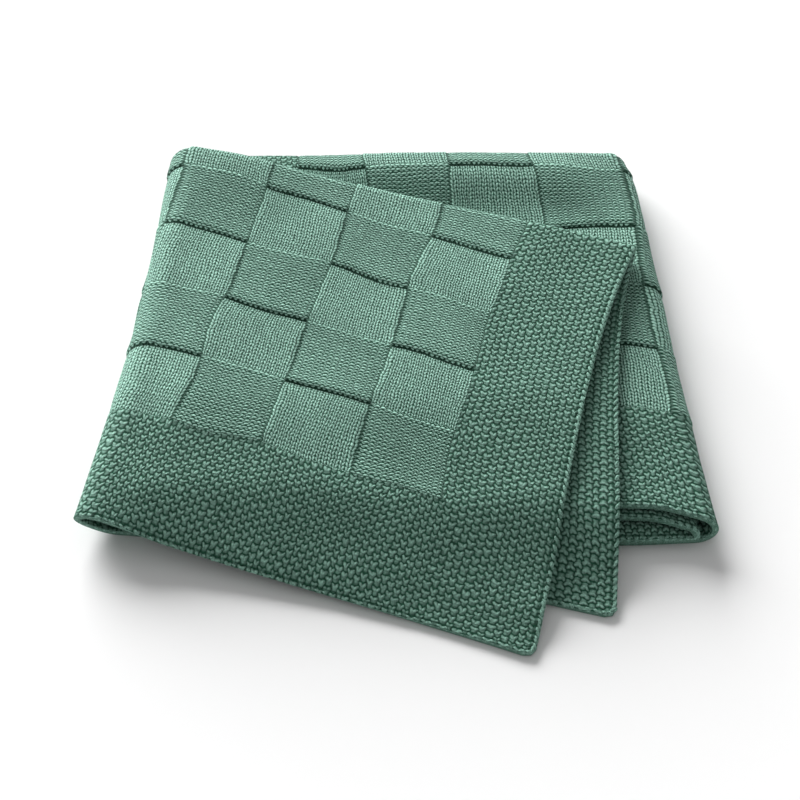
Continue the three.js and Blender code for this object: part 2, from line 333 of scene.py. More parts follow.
class FoldedCloth:
    """Where each point of the flat cloth lies once it is folded.

    s runs along the flat width from the top flap's free edge, and t along the flat length from the
    front edge of the outer layer, round the turn at the back, to the front edge of the inner one.
    """

    # The share of a fold line's depth over which its back corner is pulled in.
    CORNER_REACH = 0.06

    # How far the top flap's free edge bows towards -X, and how far its front edge bows back,
    # nearer its fold and nearer its free edge.
    TOP_EDGE_BOW = 7 * MM
    FRONT_EDGE_LEFT = 1 * MM
    FRONT_EDGE_RIGHT = 3 * MM

    # How far the floor layers stand forward between the folds, and the length from each fold over
    # which they come to it.
    STEP_REACH = 2.5 * MM
    STEP_OVER = 60 * MM

    # How far past the left fold the top flap comes to its own height.
    LEVEL_FROM = 15 * MM
    LEVEL_TO = 60 * MM

    # The share of its height that the pile loses towards the front, by distance towards -Y, and
    # how much less that is at the right, by distance towards +X.
    SQUASH = 0.24
    SQUASH_FROM = 20 * MM
    SQUASH_TO = 110 * MM
    FULLER = 0.12
    FULLER_FROM = 90 * MM
    FULLER_TO = 160 * MM

    # How far the right flap's front edge is set back, and the length past the fold over which.
    SETBACK = 9 * MM
    SETBACK_OVER = 40 * MM

    # The top flap's fall: a power below 1 starts it faster. Towards the left fold it starts a
    # little sooner, between two places in x.
    FALL_EASE = 0.8
    FALL_SOONER = 11 * MM
    FALL_SOONER_FROM = 60 * MM
    FALL_SOONER_TO = -120 * MM

    # The right flap's crest at the back and the dip in front of it: height, middle in y, and half
    # width. Both fade in between two places in x, and the crest is a share less at the right.
    CREST = (6.6 * MM, 176 * MM, 32 * MM)
    DIP = (-3.8 * MM, 128 * MM, 46 * MM)
    CREST_FROM = -165 * MM
    CREST_TO = -90 * MM
    CREST_LESS = 0.15
    CREST_LESS_FROM = 20 * MM
    CREST_LESS_TO = 120 * MM

    # The top flap's fuller place near its back corner at the left: height, middle in y and half
    # width, and the same two in x.
    FLAP_HUMP = (3.8 * MM, 168 * MM, 60 * MM)
    FLAP_HUMP_X = -106 * MM
    FLAP_HUMP_WIDTH = 60 * MM

    # The share of the right flap's width by which its middle lies nearer the free edge than even
    # stitches would put it.
    FLAP_EASE = 0.045

    # How far the lower layers draw back under the left fold, towards +X and +Y, below a height. It
    # comes in with the distance towards -X, and towards the front.
    LEAN_X = 9 * MM
    LEAN_Y = 4 * MM
    LEAN_HEIGHT = 26 * MM
    LEAN_FROM = 60 * MM
    LEAN_TO = 185 * MM

    # Where the flap has fallen, its outer layer lies on the inner one, and comes down to the floor
    # over this length past the inner one's edge. Both stay a little clear of the floor.
    TUCK_LENGTH = 30 * MM
    FLOOR_CLEARANCE = 0.4 * MM

    # The long waves of the upper layers. They fade in past a fold, as the crest and the fall do.
    WAVE_LENGTH_X = 150 * MM
    WAVE_LENGTH_Y = 190 * MM
    WAVE_PHASE_X = 0.8
    WAVE_PHASE_Y = 0.5
    WAVE_FADE = 60 * MM

    # The turn at the back crosses the flat length a little askew under the top flap.
    TURN_OFFSET = -8 * MM
    TURN_SKEW = 28 * MM
    TURN_SKEW_WIDTH = 300 * MM

    # The steps along s and v that the pile's slopes are taken over.
    NUDGE_S = 0.5 * MM
    NUDGE_V = 0.002

    def __init__(self, cloth, folds):
        self.cloth = cloth
        self.folds = folds
        self.half_pitch = folds.layer_pitch / 2
        self.floor = cloth.thickness / 2 + self.half_pitch
        self.turn_length = math.pi * self.half_pitch

    def line(self, name, v, layer):
        """A fold line's place at depth v, from 0 at the back turn to 1 at the front edge."""
        row = FOLD_LINES[name]
        straight = lerp(row["back"][0], row[layer][0], v)
        bend = row["bow"] * 4 * v * (1 - v) + row["sway"] * math.sin(2 * math.pi * v)
        pulled_in = row["corner"] * (1 - smooth(v, 0, self.CORNER_REACH))
        return (
            lerp(row["at"]["back"], row["at"][layer], v) * MM,
            (straight + bend - pulled_in) * MM,
            lerp(row["back"][1], row[layer][1], v) * MM,
        )

    def turn_at(self, s):
        """The flat length at which the cloth turns back at the back of the pile."""
        skew = self.TURN_SKEW * (1 - clamp(s / self.TURN_SKEW_WIDTH, 0, 1))
        return self.cloth.length / 2 + self.TURN_OFFSET + skew

    def depth_of(self, s, t):
        """Depth v, the angle round the back turn and the layer of a point of the flat cloth."""
        turn = self.turn_at(s)
        start, end = turn - self.turn_length / 2, turn + self.turn_length / 2
        if t <= start:
            return 1 - t / start, 0, "outer"
        if t >= end:
            return (t - end) / (self.cloth.length - end), math.pi, "inner"
        angle = math.pi * (t - start) / self.turn_length
        return 0, angle, "inner" if angle > math.pi / 2 else "outer"

    def pile_middle(self, s, v, layer):
        """The middle of the doubled cloth, before the front of the top flap falls."""
        folds = self.folds
        left_at, left_x, left_y = self.line("left_fold", v, layer)
        left_radius = lerp(folds.left_radius_back, folds.left_radius_front, v)
        if s < left_at:
            _, top_x, top_y = self.line("top_edge", v, layer)
            past = left_at - s
            k = inset_from_fold(past, left_radius) / inset_from_fold(left_at, left_radius)
            x = lerp(left_x, top_x, k) - self.TOP_EDGE_BOW * early_hump(v) * k * k
            bow = self.FRONT_EDGE_RIGHT * late_hump(k) + self.FRONT_EDGE_LEFT * early_hump(k)
            y = lerp(left_y, top_y, k) + bow * v * v
            hump = hump_height(self.FLAP_HUMP, y) * (
                1 - smooth(abs(x - self.FLAP_HUMP_X), 0, self.FLAP_HUMP_WIDTH))
            level = smooth(past, self.LEVEL_FROM, self.LEVEL_TO)
            rise = (folds.flap_height - 2 * left_radius) * level + hump
            z = self.floor + left_radius + rise_from_fold(past, left_radius) + rise
            return Vector((x, y, z))

        right_at, right_x, right_y = self.line("right_fold", v, layer)
        if s > right_at:
            flap_at, flap_x, flap_y = self.line("flap_edge", v, layer)
            past = s - right_at
            whole = inset_from_fold(flap_at - right_at, folds.right_radius)
            k = inset_from_fold(past, folds.right_radius) / whole
            k += self.FLAP_EASE * math.sin(math.pi * k) ** 2
            x, y = lerp(right_x, flap_x, k), lerp(right_y, flap_y, k)
            y += self.SETBACK * smooth(past, 0, self.SETBACK_OVER) * (1 - k) * v
            less = self.CREST_LESS * smooth(x, self.CREST_LESS_FROM, self.CREST_LESS_TO)
            crest = hump_height(self.CREST, y) * (1 - less) + hump_height(self.DIP, y)
            crest *= smooth(x, self.CREST_FROM, self.CREST_TO) * smooth(past, 0, self.WAVE_FADE)
            z = self.floor + folds.right_radius + rise_from_fold(past, folds.right_radius)
            return Vector((x, y, z + crest))

        half = (right_at - left_at) / 2
        from_left, from_right = s - left_at, right_at - s
        left_part = inset_from_fold(half, left_radius)
        right_part = inset_from_fold(half, folds.right_radius)
        whole = left_part + right_part
        if from_left < half:
            inset = inset_from_fold(from_left, left_radius)
            drop = left_radius - rise_from_fold(from_left, left_radius)
        else:
            inset = whole - inset_from_fold(from_right, folds.right_radius)
            drop = folds.right_radius - rise_from_fold(from_right, folds.right_radius)
        k = inset / whole
        fade = min(smooth(from_left, 0, self.STEP_OVER), smooth(from_right, 0, self.STEP_OVER))
        y = lerp(left_y, right_y, k) - self.STEP_REACH * fade * v
        return Vector((lerp(left_x, right_x, k), y, self.floor + drop))

    def tucked_edge(self, x):
        """The y of the inner layer's front edge under the top flap, at a given x."""
        left_x, left_y = (value * MM for value in FOLD_LINES["left_fold"]["inner"])
        right_x, right_y = (value * MM for value in FOLD_LINES["top_edge"]["inner"])
        return lerp(left_y, right_y, (x - left_x) / (right_x - left_x))

    def middle(self, s, t):
        """The middle of the cloth itself, for a point of the flat cloth."""
        folds = self.folds
        v, angle, layer = self.depth_of(s, t)
        across = (self.pile_middle(s + self.NUDGE_S, v, layer)
                  - self.pile_middle(s - self.NUDGE_S, v, layer))
        forward = (self.pile_middle(s, v + self.NUDGE_V, layer)
                   - self.pile_middle(s, v - self.NUDGE_V, layer))
        out = across.cross(forward).normalized()
        back = -forward.normalized()
        point = self.pile_middle(s, v, layer)
        point += self.half_pitch * (math.cos(angle) * out + math.sin(angle) * back)

        # The pile is pressed together towards the front, less so at the right.
        squash = self.SQUASH - self.FULLER * smooth(point.x, self.FULLER_FROM, self.FULLER_TO)
        press = smooth(-point.y, self.SQUASH_FROM, self.SQUASH_TO)
        point.z = lerp(point.z, self.cloth.thickness / 2, squash * press)

        # The lower layers draw back under the left fold there.
        low = 1 - smooth(point.z, 0, self.LEAN_HEIGHT)
        lean = low * press * smooth(-point.x, self.LEAN_FROM, self.LEAN_TO)
        point.x += self.LEAN_X * lean
        point.y += self.LEAN_Y * lean

        # The long waves and the top flap's fall, fading in past each fold.
        past_left = self.line("left_fold", v, layer)[0] - s
        past_right = s - self.line("right_fold", v, layer)[0]
        upper = max(smooth(past_left, 0, self.WAVE_FADE), smooth(past_right, 0, self.WAVE_FADE))
        wave = (math.sin(2 * math.pi * point.x / self.WAVE_LENGTH_X + self.WAVE_PHASE_X)
                * math.cos(2 * math.pi * point.y / self.WAVE_LENGTH_Y - self.WAVE_PHASE_Y))
        point.z += folds.wave_height * wave * upper

        if past_left > 0:
            sooner = self.FALL_SOONER * smooth(
                point.x, self.FALL_SOONER_FROM, self.FALL_SOONER_TO)
            along = clamp((folds.fall_start + sooner - point.y) / folds.fall_length, 0, 1)
            fall = smooth(along ** self.FALL_EASE, 0, 1) * smooth(past_left, 0, self.WAVE_FADE)
            beyond = smooth(self.tucked_edge(point.x) - point.y, 0, self.TUCK_LENGTH)
            under = folds.layer_pitch * (1 - beyond) if layer == "outer" else 0
            fallen = self.cloth.thickness / 2 + self.FLOOR_CLEARANCE + under
            point.z = lerp(point.z, fallen, fall)
        return point


def even_lines(start, end, longest):
    """Even steps from start to end, none over a length. The start is left out."""
    count = max(1, math.ceil((end - start) / longest - STEP_ROUNDING))
    return [lerp(start, end, (i + 1) / count) for i in range(count)]


def flat_lines(border, square, count, close_zones):
    """Where the sheet's mesh has its lines along one flat direction.

    Two lines stand close together at each edge of a square, where knit turns to purl, and lines
    stand closer in the zones that fold. close_zones: (from, to, longest step) for each.
    """
    total = 2 * border + count * square
    marks = [0]
    for i in range(count + 1):
        edge = border + i * square
        marks += [edge + offset for offset in (-EDGE_FADE, -EDGE_HALF, EDGE_HALF, EDGE_FADE)]
    marks.append(total)
    lines = [0]
    for start, end in zip(marks, marks[1:]):
        close = [step for low, high, step in close_zones if end > low and start < high]
        step = min([LONGEST_STEP] + close)
        lines += even_lines(start, end, step)
    return lines


def square_sign(index_s, index_t):
    """1 for a square that is purl on the outer side, -1 for one that is knit there."""
    return 1 if (index_s + index_t) % 2 == 0 else -1


def relief(cloth, s, t):
    """How far the cloth stands out of its own plane at a point of the flat cloth."""
    s_in, t_in = s - cloth.border, t - cloth.border
    inside_s = 0 < s_in < cloth.squares_across * cloth.square_width
    inside_t = 0 < t_in < cloth.squares_along * cloth.square_length
    if not (inside_s and inside_t):
        return 0
    index_s, part_s = divmod(s_in, cloth.square_width)
    index_t, part_t = divmod(t_in, cloth.square_length)
    side = min(part_s, cloth.square_width - part_s)
    near_end, far_end = part_t, cloth.square_length - part_t
    sign = square_sign(int(index_s), int(index_t))
    if sign < 0:
        near_end, far_end = far_end, near_end
    at_side = math.exp(-side / RELIEF_FADE_SIDE)
    at_end = (math.exp(-near_end / RELIEF_FADE_END)
              + RELIEF_FAR_SHARE * math.exp(-far_end / RELIEF_FADE_END))
    return sign * (cloth.purl_proud * at_end - cloth.knit_proud * at_side * (1 - at_end))


def flat_noise(s, t, length, seed):
    """Soft noise from -1 to 1 over the flat cloth, with spots of about a length."""
    return noise.noise(Vector((s / length, t / length, seed)))


def ripple(folds, s, t):
    """The small unevenness of a soft cloth."""
    broad = flat_noise(s, t, RIPPLE_BROAD, seed=0.3)
    fine = flat_noise(s, t, RIPPLE_FINE, seed=4.7)
    return folds.ripple_height * (BROAD_SHARE * broad + FINE_SHARE * fine)


def stretched(cloth, s, t):
    """A point of the flat cloth, moved a little as soft knitting stretches unevenly."""
    to_edge = min(s, cloth.width - s, t, cloth.length - t)
    amount = STRETCH * smooth(to_edge, 0, STRETCH_FADE)
    along_s = flat_noise(s, t, STRETCH_LENGTH, seed=11.2)
    along_t = flat_noise(s, t, STRETCH_LENGTH, seed=17.9)
    return s + amount * along_s, t + amount * along_t


def round_corner(cloth, s, t):
    """Pulls a point near a corner of the flat cloth in, so that the corner is round."""
    radius = cloth.corner_radius
    near_s, near_t = min(s, cloth.width - s), min(t, cloth.length - t)
    if near_s >= radius or near_t >= radius:
        return s, t
    a, b = 1 - near_s / radius, 1 - near_t / radius
    round_a = a * math.sqrt(1 - b * b / 2)
    round_b = b * math.sqrt(1 - a * a / 2)
    new_s, new_t = radius * (1 - round_a), radius * (1 - round_b)
    return (
        new_s if s < cloth.width / 2 else cloth.width - new_s,
        new_t if t < cloth.length / 2 else cloth.length - new_t,
    )


def grid_normals(points):
    """The cloth's normals at a grid of points, towards its outer side."""
    rows, columns = len(points), len(points[0])
    normals = []
    for j in range(rows):
        before, after = points[max(j - 1, 0)], points[min(j + 1, rows - 1)]
        normals.append([
            (after[i] - before[i]).cross(
                points[j][min(i + 1, columns - 1)] - points[j][max(i - 1, 0)]).normalized()
            for i in range(columns)
        ])
    return normals


def folded_grid(cloth, folds):
    """The sheet's lines in s and t, with the folded place and normal of each crossing."""
    middle_t = cloth.length / 2
    lines_s = flat_lines(
        cloth.border, cloth.square_width, cloth.squares_across,
        [LEFT_FOLD_ZONE, RIGHT_FOLD_ZONE])
    lines_t = flat_lines(
        cloth.border, cloth.square_length, cloth.squares_along,
        [(middle_t - TURN_BEFORE, middle_t + TURN_AFTER, TURN_STEP)])
    shape = FoldedCloth(cloth, folds)
    points = [[shape.middle(*round_corner(cloth, *stretched(cloth, s, t))) for s in lines_s]
              for t in lines_t]
    return lines_s, lines_t, points, grid_normals(points)


def sheet_shift(points, normals, thickness):
    """The move that puts the folded sheet where the CAD node is."""
    low, high = Vector((math.inf,) * 3), Vector((-math.inf,) * 3)
    for row, row_normals in zip(points, normals):
        for point, normal in zip(row, row_normals):
            for side in (-1, 1):
                face = point + side * thickness / 2 * normal
                low = Vector(map(min, low, face))
                high = Vector(map(max, high, face))
    node_low, node_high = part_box(CAD_NODE)
    shift = (Vector(node_low) + Vector(node_high)) / 2 - (low + high) / 2
    shift.z = 0
    return shift


def pile_shift(scene):
    """The move that the knitted sheet was given."""
    if SHIFT_KEY not in scene:
        raise RuntimeError("make the knitted sheet first")
    return Vector(scene[SHIFT_KEY])


def add_piece(name, bm, materials):
    """A finished piece, shaded smooth, that rides on the blanket's own body."""
    mesh = bpy.data.meshes.new(name)
    for face in bm.faces:
        face.smooth = True
    bm.to_mesh(mesh)
    bm.free()
    for material in materials:
        mesh.materials.append(material)
    piece = bpy.data.objects.new(name, mesh)
    bpy.context.scene.collection.objects.link(piece)
    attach(piece, "root")
    return piece


class BLANKET_OT_sheet(bpy.types.Operator):
    """Makes the knitted sheet, folded into its pile"""

    bl_idname = "blanket.sheet"
    bl_label = "Knitted Sheet"

    def execute(self, context):
        scene = context.scene
        cloth, folds, yarn = scene.blanket_cloth, scene.blanket_folds, scene.blanket_yarn
        lines_s, lines_t, points, normals = folded_grid(cloth, folds)
        shift = sheet_shift(points, normals, cloth.thickness)
        scene[SHIFT_KEY] = shift

        bm = bmesh.new()
        columns, rows = len(lines_s) - 1, len(lines_t) - 1
        bmesh.ops.create_grid(bm, x_segments=columns, y_segments=rows, size=0.5)
        uv_layer = bm.loops.layers.uv.new(UV_NAME)
        place = {}
        for vert in bm.verts:
            i = round((vert.co.x + 0.5) * columns)
            j = round((vert.co.y + 0.5) * rows)
            place[vert] = (i, j)
        for face in bm.faces:
            for loop in face.loops:
                i, j = place[loop.vert]
                loop[uv_layer].uv = (lines_s[i], lines_t[j])
        for vert in bm.verts:
            i, j = place[vert]
            s, t = lines_s[i], lines_t[j]
            out = relief(cloth, s, t) + ripple(folds, s, t)
            point = points[j][i] + shift
            vert.co = point + out * normals[j][i]
            # What lies on the floor is pressed flat by the pile's own weight.
            vert.co.z = max(vert.co.z, min(point.z, cloth.thickness / 2))
        bmesh.ops.reverse_faces(bm, faces=bm.faces)

        outer = knit_material("Yarn outer side", cloth, yarn, outer_side=True)
        inner = knit_material("Yarn inner side", cloth, yarn, outer_side=False)
        # The cloth's cut sides get a darker copy of the yarn's colours: a painted shade.
        shaded_rim = edge_material("Yarn rim, painted shade", yarn, deepest=0.1, highest=0.6)
        piece = add_piece(SHEET_NAME, bm, [outer, inner, shaded_rim])
        solidify = piece.modifiers.new("Thickness", "SOLIDIFY")
        solidify.thickness = cloth.thickness
        solidify.offset = 0
        solidify.material_offset = 1
        solidify.material_offset_rim = 2
        bevel = piece.modifiers.new("Rounded edges", "BEVEL")
        bevel.width = 1.2 * MM
        bevel.segments = 2
        bevel.limit_method = "ANGLE"
        bevel.angle_limit = math.radians(65)

        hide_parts(CAD_NODE)
        return {"FINISHED"}


class EdgePlace:
    """The folded place of a spot on the cloth's edge, with its directions there."""

    # The step along the flat cloth that a direction is taken over.
    NUDGE = 0.4 * MM
    # How far the stitches of a level edge stand above the cloth's middle.
    LIFT = 0.8 * MM

    def __init__(self, cloth, folds, shift):
        self.cloth, self.folds, self.shift = cloth, folds, shift
        self.shape = FoldedCloth(cloth, folds)

    def point(self, s, t):
        return self.shape.middle(*round_corner(self.cloth, s, t)) + self.shift

    def matrix(self, s, t, along, inward, spacing, stitch):
        """A matrix for a stitch.

        along, inward: the two directions in the flat cloth. spacing: from stitch to stitch.
        stitch: as SIDE_STITCH.
        """
        slant, depth, length_share, half_width, half_height = stitch
        halves = (length_share * spacing, half_width, half_height)
        place = self.point(s, t)
        ahead = self.point(s + along[0] * self.NUDGE, t + along[1] * self.NUDGE) - place
        inside = self.point(s + inward[0] * self.NUDGE, t + inward[1] * self.NUDGE) - place
        ahead.normalize()
        through = ahead.cross(inside).normalized()
        inside = through.cross(ahead)
        lengthways = math.cos(slant) * ahead + math.sin(slant) * inside
        sideways = through.cross(lengthways)
        up = through * (1 if through.z > 0 else -1)
        middle = place + depth * inside + ripple(self.folds, s, t) * up
        middle += self.LIFT * through.z * through
        columns = [direction * half
                   for direction, half in zip((lengthways, sideways, through), halves)]
        matrix = Matrix(columns).transposed().to_4x4()
        matrix.translation = middle
        return matrix


class BLANKET_OT_edge_stitches(bpy.types.Operator):
    """Makes the stitches along the cloth's four edges and sews them to the sheet"""

    bl_idname = "blanket.edge_stitches"
    bl_label = "Edge Stitches"

    def execute(self, context):
        scene = context.scene
        cloth, folds, yarn = scene.blanket_cloth, scene.blanket_folds, scene.blanket_yarn
        place = EdgePlace(cloth, folds, pile_shift(scene))
        bm = bmesh.new()
        bmesh.ops.create_uvsphere(
            bm, u_segments=STITCH_SEGMENTS, v_segments=STITCH_RINGS, radius=1)
        round_stitch = bpy.data.meshes.new("round stitch")
        bm.to_mesh(round_stitch)
        bm.clear()

        def add_stitch(matrix):
            stitch = round_stitch.copy()
            stitch.transform(matrix)
            bm.from_mesh(stitch)
            bpy.data.meshes.remove(stitch)

        count = round(cloth.length / cloth.selvedge_stitch)
        for i in range(count):
            t = (i + 0.5) * cloth.length / count
            for s, inward in ((0, 1), (cloth.width, -1)):
                add_stitch(place.matrix(
                    s, t, (0, 1), (inward, 0), cloth.selvedge_stitch, SIDE_STITCH))
        count = round(cloth.width / cloth.seed_width)
        for i in range(count):
            s = (i + 0.5) * cloth.width / count
            for t, inward in ((0, 1), (cloth.length, -1)):
                add_stitch(place.matrix(
                    s, t, (1, 0), (0, inward), cloth.seed_width, END_STITCH))
        bpy.data.meshes.remove(round_stitch)
        bmesh.ops.recalc_face_normals(bm, faces=bm.faces)

        chain = edge_material("Yarn edge stitches", yarn, deepest=0.32, highest=0.98)
        stitches = add_piece("blanket_edge_stitches", bm, [chain])
        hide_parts(CAD_NODE)
        return {"FINISHED"}


class Nodes:
    """A few short words for building a node tree."""

    def __init__(self, tree):
        self.tree = tree

    def add(self, kind, **settings):
        node = self.tree.nodes.new(kind)
        for name, value in settings.items():
            setattr(node, name, value)
        return node

    def feed(self, socket, value):
        """Sets a socket, or links another node's output to it."""
        if isinstance(value, bpy.types.NodeSocket):
            self.tree.links.new(value, socket)
        else:
            socket.default_value = value

    def math(self, operation, a, b=None, c=None):
        node = self.add("ShaderNodeMath", operation=operation)
        for socket, value in zip(node.inputs, (a, b, c)):
            if value is not None:
                self.feed(socket, value)
        return node.outputs[0]

    def largest(self, first, *others):
        for other in others:
            first = self.math("MAXIMUM", first, other)
        return first

    def product(self, first, *others):
        for other in others:
            first = self.math("MULTIPLY", first, other)
        return first

    def mix(self, factor, a, b):
        """A number that goes from a to b."""
        node = self.add("ShaderNodeMix", data_type="FLOAT")
        for place, value in zip((0, 2, 3), (factor, a, b)):
            self.feed(node.inputs[place], value)
        return node.outputs[0]

    def colour(self, factor, a, b):
        """A colour that goes from a to b."""
        node = self.add("ShaderNodeMix", data_type="RGBA")
        for place, value in zip((0, 6, 7), (factor, a, b)):
            self.feed(node.inputs[place], value)
        return node.outputs[2]

    def ramp(self, value, start, end):
        """0 below start and 1 above end, smooth between."""
        node = self.add("ShaderNodeMapRange", interpolation_type="SMOOTHSTEP")
        self.feed(node.inputs["Value"], value)
        self.feed(node.inputs["From Min"], start)
        self.feed(node.inputs["From Max"], end)
        return node.outputs[0]

    def fade(self, value, start, end):
        """1 below start and 0 above end, smooth between."""
        return self.math("SUBTRACT", 1, self.ramp(value, start, end))

    def less(self, share, value):
        """1, less a share of a value."""
        return self.math("MULTIPLY_ADD", value, -share, 1)

    def centred(self, value):
        """-1 to 1 across each whole number."""
        return self.math("MULTIPLY_ADD", self.math("FRACT", value), 2, -1)

    def dome(self, square):
        """The height of a round bump, from the square of the distance from its middle."""
        return self.math("SQRT", self.math("MAXIMUM", self.math("SUBTRACT", 1, square), 0))

    def oval(self, x, y, half_width, half_height):
        """A round bump that is higher or wider than a circle."""
        return self.dome(self.math(
            "ADD", self.math("POWER", self.math("DIVIDE", x, half_width), 2),
            self.math("POWER", self.math("DIVIDE", y, half_height), 2)))


class FlatNoise:
    """Soft noise over the flat cloth."""

    def __init__(self, n, s, t):
        self.n, self.s, self.t = n, s, t

    def spots(self, size, seed, detail=0.0):
        """0 to 1, with spots of about a size."""
        n = self.n
        at = n.add("ShaderNodeCombineXYZ")
        n.feed(at.inputs[0], n.math("DIVIDE", self.s, size))
        n.feed(at.inputs[1], n.math("DIVIDE", self.t, size))
        at.inputs[2].default_value = seed
        node = n.add("ShaderNodeTexNoise")
        n.feed(node.inputs["Vector"], at.outputs[0])
        node.inputs["Scale"].default_value = 1
        node.inputs["Detail"].default_value = detail
        return node.outputs["Fac"]

    def varied(self, value, spots, amount):
        """A value, give or take half an amount where the spots are."""
        return self.n.math("MULTIPLY_ADD", self.n.math("SUBTRACT", spots, 0.5), amount, value)


def knit_height(n, column, row):
    """Stockinette: each stitch is a V of two slanting legs. column and row count stitches."""
    leg_slant, leg_crown, between_rows, hole_depth = 0.6, 0.92, 0.65, 0.9
    from_middle = n.math("ABSOLUTE", n.centred(column))
    phase = n.centred(n.math("MULTIPLY_ADD", from_middle, -leg_slant, row))
    phase_square = n.math("POWER", phase, 2)
    leg = n.mix(between_rows, 1.0, n.dome(phase_square))
    side = n.centred(from_middle)
    across_leg = n.dome(n.math("MULTIPLY", n.math("POWER", side, 2), leg_crown))
    hole = n.product(n.ramp(from_middle, start=0.5, end=0.95), phase_square)
    return n.product(leg, across_leg, n.less(hole_depth, hole))


def purl_height(n, column, row):
    """Reverse stockinette: a row of arcs that arch up, and lower ones between that arch down."""
    foot_share = 0.78

    def arcs(column, row, curve, half_width, half_height):
        x = n.centred(column)
        bend = n.math("MULTIPLY", n.math("POWER", x, 2), curve)
        return n.oval(x, n.centred(n.math("ADD", row, bend)), half_width, half_height)

    heads = arcs(column, row, curve=0.13, half_width=1.2, half_height=0.62)
    feet = arcs(n.math("ADD", column, 0.5), n.math("ADD", row, 0.5),
                curve=-0.13, half_width=0.9, half_height=0.5)
    return n.largest(heads, n.math("MULTIPLY", feet, foot_share))


def seed_height(n, column, row):
    """Seed stitch: at every other place a purl bump with two raised arms and a lower foot."""
    arm_slant, arm_place, foot_place, foot_share = 0.9, 0.35, 0.8, 0.72

    def bumps(x, y):
        from_middle = n.math("ABSOLUTE", x)
        arms = n.oval(n.math("SUBTRACT", from_middle, arm_place),
                      n.math("SUBTRACT", y, n.math("MULTIPLY", from_middle, arm_slant)),
                      half_width=0.82, half_height=1.2)
        foot = n.oval(x, n.math("ADD", y, foot_place), half_width=0.8, half_height=1.6)
        return n.largest(arms, n.math("MULTIPLY", foot, foot_share))

    # The bumps stand two places apart both ways, and those between are shifted by one place.
    half_column, half_row = n.math("MULTIPLY", column, 0.5), n.math("MULTIPLY", row, 0.5)
    even, odd = (
        bumps(n.math("MULTIPLY", n.centred(n.math("ADD", half_column, shift)), 2),
              n.math("MULTIPLY", n.centred(n.math("ADD", half_row, shift)), 2))
        for shift in (0, 0.5))
    return n.largest(even, odd)


def yarn_shader(n, base_colour, height):
    """Matt, slightly fuzzy cotton, with its fine height as bump."""
    bump = n.add("ShaderNodeBump")
    bump.inputs["Strength"].default_value = 1
    bump.inputs["Distance"].default_value = 1
    n.feed(bump.inputs["Height"], height)
    shader = n.add("ShaderNodeBsdfPrincipled")
    n.feed(shader.inputs["Base Color"], base_colour)
    n.feed(shader.inputs["Normal"], bump.outputs[0])
    shader.inputs["Roughness"].default_value = 0.92
    shader.inputs["Specular IOR Level"].default_value = 0.1
    shader.inputs["Sheen Weight"].default_value = 0.06
    shader.inputs["Sheen Roughness"].default_value = 0.5
    shader.inputs["Sheen Tint"].default_value = (0.6, 0.85, 0.75, 1)
    output = n.add("ShaderNodeOutputMaterial")
    n.feed(output.inputs["Surface"], shader.outputs[0])


def new_material(name):
    """A material with an empty node tree, and the words to fill it."""
    material = bpy.data.materials.new(name)
    material.use_nodes = True
    material.node_tree.nodes.clear()
    return material, Nodes(material.node_tree)


def edge_material(name, yarn, deepest, highest):
    """Twisted yarn, seen close. Its colours go from the painted deep shade's, at 0, to the raised
    yarn's.
    """
    strand_size, strand_depth = 0.7 * MM, 0.35 * MM
    material, n = new_material(name)
    place = n.add("ShaderNodeTexCoord")
    strands = n.add("ShaderNodeTexNoise")
    n.feed(strands.inputs["Vector"], place.outputs["Object"])
    strands.inputs["Scale"].default_value = 1 / strand_size
    strands.inputs["Detail"].default_value = 3
    fibre = strands.outputs["Fac"]
    low, high = (
        (*(lerp(deep_shade, light, share) for deep_shade, light in zip(yarn.deep_shade, yarn.light)), 1)
        for share in (deepest, highest))
    base = n.colour(n.ramp(fibre, start=0.25, end=0.75), low, high)
    yarn_shader(n, base, n.math("MULTIPLY", fibre, strand_depth))
    return material


